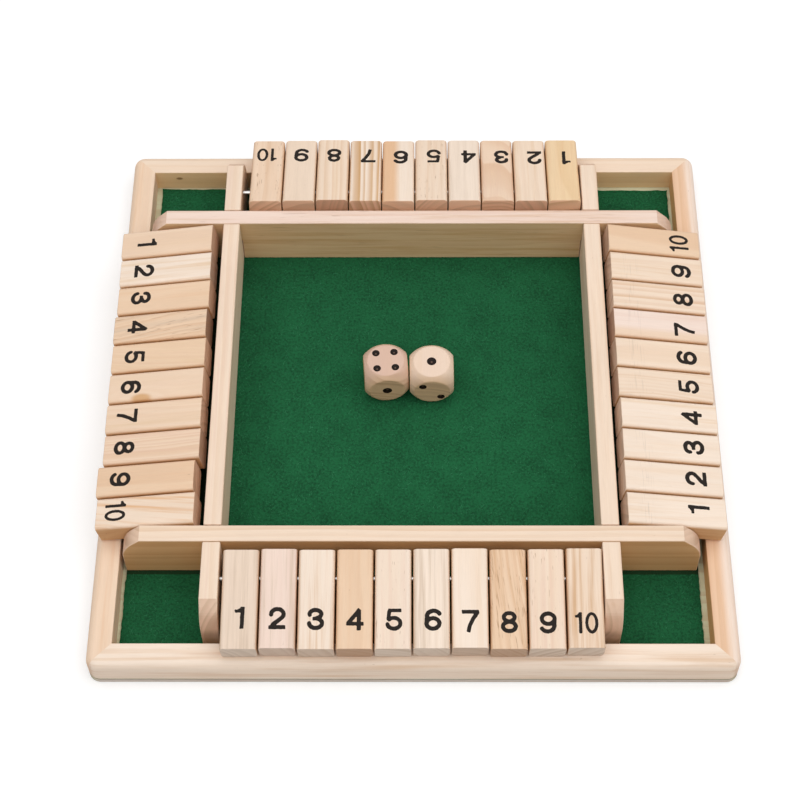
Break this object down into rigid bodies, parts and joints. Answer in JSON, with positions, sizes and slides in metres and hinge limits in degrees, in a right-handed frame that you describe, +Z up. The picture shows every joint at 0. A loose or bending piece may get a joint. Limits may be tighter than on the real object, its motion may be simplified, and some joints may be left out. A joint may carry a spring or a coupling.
{
  "type": "shut the box game",
  "caption": "Square wooden tray with a felt floor, a row of number tiles that flip over on each of its sides, and wooden dice.",
  "frame": {"origin": "middle of the underside of the base board", "axes": "+Z up out of the tray, +Y to the back row, +X to the right row, with the front row towards -Y"},
  "size_m": [0.2127, 0.2129, 0.0263],
  "materials": {
    "frame_pine": "pale pine, smooth sawn, unvarnished",
    "tile_pine": "pale pine with painted black numbers",
    "plywood": "thin pale plywood, bare edge",
    "dice_wood": "smooth pale wood with dark painted pips",
    "felt": "deep green pressed felt",
    "steel_wire": "bright drawn wire"
  },
  "bodies": {
    "tray": {"base_board": "plywood", "felt_sheet": "felt", "rail_front": "frame_pine", "rail_right": "frame_pine", "rail_back": "frame_pine", "rail_left": "frame_pine", "divider_front": "frame_pine", "divider_right": "frame_pine", "divider_back": "frame_pine", "divider_left": "frame_pine", "rod_front": "steel_wire", "rod_right": "steel_wire", "rod_back": "steel_wire", "rod_left": "steel_wire"},
    "die_left": {"die_left": "dice_wood"},
    "die_right": {"die_right": "dice_wood"},
    "tile_front_1": {"tile_front_1": "tile_pine"},
    "tile_front_2": {"tile_front_2": "tile_pine"},
    "tile_front_3": {"tile_front_3": "tile_pine"},
    "tile_front_4": {"tile_front_4": "tile_pine"},
    "tile_front_5": {"tile_front_5": "tile_pine"},
    "tile_front_6": {"tile_front_6": "tile_pine"},
    "tile_front_7": {"tile_front_7": "tile_pine"},
    "tile_front_8": {"tile_front_8": "tile_pine"},
    "tile_front_9": {"tile_front_9": "tile_pine"},
    "tile_front_10": {"tile_front_10": "tile_pine"},
    "tile_right_1": {"tile_right_1": "tile_pine"},
    "tile_right_2": {"tile_right_2": "tile_pine"},
    "tile_right_3": {"tile_right_3": "tile_pine"},
    "tile_right_4": {"tile_right_4": "tile_pine"},
    "tile_right_5": {"tile_right_5": "tile_pine"},
    "tile_right_6": {"tile_right_6": "tile_pine"},
    "tile_right_7": {"tile_right_7": "tile_pine"},
    "tile_right_8": {"tile_right_8": "tile_pine"},
    "tile_right_9": {"tile_right_9": "tile_pine"},
    "tile_right_10": {"tile_right_10": "tile_pine"},
    "tile_back_1": {"tile_back_1": "tile_pine"},
    "tile_back_2": {"tile_back_2": "tile_pine"},
    "tile_back_3": {"tile_back_3": "tile_pine"},
    "tile_back_4": {"tile_back_4": "tile_pine"},
    "tile_back_5": {"tile_back_5": "tile_pine"},
    "tile_back_6": {"tile_back_6": "tile_pine"},
    "tile_back_7": {"tile_back_7": "tile_pine"},
    "tile_back_8": {"tile_back_8": "tile_pine"},
    "tile_back_9": {"tile_back_9": "tile_pine"},
    "tile_back_10": {"tile_back_10": "tile_pine"},
    "tile_left_1": {"tile_left_1": "tile_pine"},
    "tile_left_2": {"tile_left_2": "tile_pine"},
    "tile_left_3": {"tile_left_3": "tile_pine"},
    "tile_left_4": {"tile_left_4": "tile_pine"},
    "tile_left_5": {"tile_left_5": "tile_pine"},
    "tile_left_6": {"tile_left_6": "tile_pine"},
    "tile_left_7": {"tile_left_7": "tile_pine"},
    "tile_left_8": {"tile_left_8": "tile_pine"},
    "tile_left_9": {"tile_left_9": "tile_pine"},
    "tile_left_10": {"tile_left_10": "tile_pine"}
  },
  "joints": [
    {"name": "lift_left", "type": "slide", "parent": "tray", "child": "die_left", "axis": [0, 0, 1], "range_m": [0, 0.06]},
    {"name": "lift_right", "type": "slide", "parent": "tray", "child": "die_right", "axis": [0, 0, 1], "range_m": [0, 0.06]},
    {"name": "flip_front_1", "type": "hinge", "parent": "tray", "child": "tile_front_1", "pos_m": [-0.056, -0.0787, 0.0203], "axis": [-1, 0, 0], "range_deg": [0, 146.7]},
    {"name": "flip_right_1", "type": "hinge", "parent": "tray", "child": "tile_right_1", "pos_m": [0.0795, -0.0548, 0.0203], "axis": [0, -1, 0], "range_deg": [0, 147.1]},
    {"name": "flip_back_1", "type": "hinge", "parent": "tray", "child": "tile_back_1", "pos_m": [0.0555, 0.0815, 0.0203], "axis": [1, 0, 0], "range_deg": [0, 147.5]},
    {"name": "flip_left_1", "type": "hinge", "parent": "tray", "child": "tile_left_1", "pos_m": [-0.0807, 0.0568, 0.0203], "axis": [0, 1, 0], "range_deg": [0, 147.2]},
    {"name": "flip_front_10", "type": "hinge", "parent": "tray", "child": "tile_front_10", "pos_m": [0.0556, -0.0787, 0.0203], "axis": [-1, 0, 0], "range_deg": [0, 136.5]},
    {"name": "flip_right_10", "type": "hinge", "parent": "tray", "child": "tile_right_10", "pos_m": [0.0795, 0.0568, 0.0203], "axis": [0, -1, 0], "range_deg": [0, 138]},
    {"name": "flip_back_10", "type": "hinge", "parent": "tray", "child": "tile_back_10", "pos_m": [-0.0543, 0.0815, 0.0203], "axis": [1, 0, 0], "range_deg": [0, 141.5]},
    {"name": "flip_left_10", "type": "hinge", "parent": "tray", "child": "tile_left_10", "pos_m": [-0.0807, -0.0548, 0.0203], "axis": [0, 1, 0], "range_deg": [0, 136.5]},
    {"name": "flip_front_5", "type": "hinge", "parent": "tray", "child": "tile_front_5", "pos_m": [-0.0064, -0.0787, 0.0203], "axis": [-1, 0, 0], "range_deg": [0, 146.8]},
    {"name": "flip_right_5", "type": "hinge", "parent": "tray", "child": "tile_right_5", "pos_m": [0.0795, -0.0052, 0.0203], "axis": [0, -1, 0], "range_deg": [0, 147.2]},
    {"name": "flip_back_5", "type": "hinge", "parent": "tray", "child": "tile_back_5", "pos_m": [0.0067, 0.0815, 0.0203], "axis": [1, 0, 0], "range_deg": [0, 147.5]},
    {"name": "flip_left_5", "type": "hinge", "parent": "tray", "child": "tile_left_5", "pos_m": [-0.0807, 0.0072, 0.0203], "axis": [0, 1, 0], "range_deg": [0, 147.2]},
    {"name": "flip_front_2", "type": "hinge", "parent": "tray", "child": "tile_front_2", "pos_m": [-0.0436, -0.0787, 0.0203], "axis": [-1, 0, 0], "range_deg": [0, 146.9]},
    {"name": "flip_front_3", "type": "hinge", "parent": "tray", "child": "tile_front_3", "pos_m": [-0.0312, -0.0787, 0.0203], "axis": [-1, 0, 0], "range_deg": [0, 146.7]},
    {"name": "flip_front_4", "type": "hinge", "parent": "tray", "child": "tile_front_4", "pos_m": [-0.0188, -0.0787, 0.0203], "axis": [-1, 0, 0], "range_deg": [0, 146.8]},
    {"name": "flip_front_6", "type": "hinge", "parent": "tray", "child": "tile_front_6", "pos_m": [0.006, -0.0787, 0.0203], "axis": [-1, 0, 0], "range_deg": [0, 146.9]},
    {"name": "flip_front_7", "type": "hinge", "parent": "tray", "child": "tile_front_7", "pos_m": [0.0184, -0.0787, 0.0203], "axis": [-1, 0, 0], "range_deg": [0, 146.9]},
    {"name": "flip_front_8", "type": "hinge", "parent": "tray", "child": "tile_front_8", "pos_m": [0.0308, -0.0787, 0.0203], "axis": [-1, 0, 0], "range_deg": [0, 146.8]},
    {"name": "flip_front_9", "type": "hinge", "parent": "tray", "child": "tile_front_9", "pos_m": [0.0432, -0.0787, 0.0203], "axis": [-1, 0, 0], "range_deg": [0, 146.8]},
    {"name": "flip_right_2", "type": "hinge", "parent": "tray", "child": "tile_right_2", "pos_m": [0.0795, -0.0424, 0.0203], "axis": [0, -1, 0], "range_deg": [0, 147.2]},
    {"name": "flip_right_3", "type": "hinge", "parent": "tray", "child": "tile_right_3", "pos_m": [0.0795, -0.03, 0.0203], "axis": [0, -1, 0], "range_deg": [0, 147.1]},
    {"name": "flip_right_4", "type": "hinge", "parent": "tray", "child": "tile_right_4", "pos_m": [0.0795, -0.0176, 0.0203], "axis": [0, -1, 0], "range_deg": [0, 147.1]},
    {"name": "flip_right_6", "type": "hinge", "parent": "tray", "child": "tile_right_6", "pos_m": [0.0795, 0.0072, 0.0203], "axis": [0, -1, 0], "range_deg": [0, 147.2]},
    {"name": "flip_right_7", "type": "hinge", "parent": "tray", "child": "tile_right_7", "pos_m": [0.0795, 0.0196, 0.0203], "axis": [0, -1, 0], "range_deg": [0, 147.2]},
    {"name": "flip_right_8", "type": "hinge", "parent": "tray", "child": "tile_right_8", "pos_m": [0.0795, 0.032, 0.0203], "axis": [0, -1, 0], "range_deg": [0, 147.2]},
    {"name": "flip_right_9", "type": "hinge", "parent": "tray", "child": "tile_right_9", "pos_m": [0.0795, 0.0444, 0.0203], "axis": [0, -1, 0], "range_deg": [0, 147.2]},
    {"name": "flip_back_2", "type": "hinge", "parent": "tray", "child": "tile_back_2", "pos_m": [0.0433, 0.0815, 0.0203], "axis": [1, 0, 0], "range_deg": [0, 147.5]},
    {"name": "flip_back_3", "type": "hinge", "parent": "tray", "child": "tile_back_3", "pos_m": [0.0311, 0.0815, 0.0203], "axis": [1, 0, 0], "range_deg": [0, 147.5]},
    {"name": "flip_back_4", "type": "hinge", "parent": "tray", "child": "tile_back_4", "pos_m": [0.0189, 0.0815, 0.0203], "axis": [1, 0, 0], "range_deg": [0, 147.5]},
    {"name": "flip_back_6", "type": "hinge", "parent": "tray", "child": "tile_back_6", "pos_m": [-0.0055, 0.0815, 0.0203], "axis": [1, 0, 0], "range_deg": [0, 147.5]},
    {"name": "flip_back_7", "type": "hinge", "parent": "tray", "child": "tile_back_7", "pos_m": [-0.0177, 0.0815, 0.0203], "axis": [1, 0, 0], "range_deg": [0, 147.5]},
    {"name": "flip_back_8", "type": "hinge", "parent": "tray", "child": "tile_back_8", "pos_m": [-0.0299, 0.0815, 0.0203], "axis": [1, 0, 0], "range_deg": [0, 147.5]},
    {"name": "flip_back_9", "type": "hinge", "parent": "tray", "child": "tile_back_9", "pos_m": [-0.0421, 0.0815, 0.0203], "axis": [1, 0, 0], "range_deg": [0, 147.5]},
    {"name": "flip_left_2", "type": "hinge", "parent": "tray", "child": "tile_left_2", "pos_m": [-0.0807, 0.0444, 0.0203], "axis": [0, 1, 0], "range_deg": [0, 147.2]},
    {"name": "flip_left_3", "type": "hinge", "parent": "tray", "child": "tile_left_3", "pos_m": [-0.0807, 0.032, 0.0203], "axis": [0, 1, 0], "range_deg": [0, 147.2]},
    {"name": "flip_left_4", "type": "hinge", "parent": "tray", "child": "tile_left_4", "pos_m": [-0.0807, 0.0196, 0.0203], "axis": [0, 1, 0], "range_deg": [0, 147.2]},
    {"name": "flip_left_6", "type": "hinge", "parent": "tray", "child": "tile_left_6", "pos_m": [-0.0807, -0.0052, 0.0203], "axis": [0, 1, 0], "range_deg": [0, 147.2]},
    {"name": "flip_left_7", "type": "hinge", "parent": "tray", "child": "tile_left_7", "pos_m": [-0.0807, -0.0176, 0.0203], "axis": [0, 1, 0], "range_deg": [0, 147.2]},
    {"name": "flip_left_8", "type": "hinge", "parent": "tray", "child": "tile_left_8", "pos_m": [-0.0807, -0.03, 0.0203], "axis": [0, 1, 0], "range_deg": [0, 147.2]},
    {"name": "flip_left_9", "type": "hinge", "parent": "tray", "child": "tile_left_9", "pos_m": [-0.0807, -0.0424, 0.0203], "axis": [0, 1, 0], "range_deg": [0, 147.2]}
  ]
}
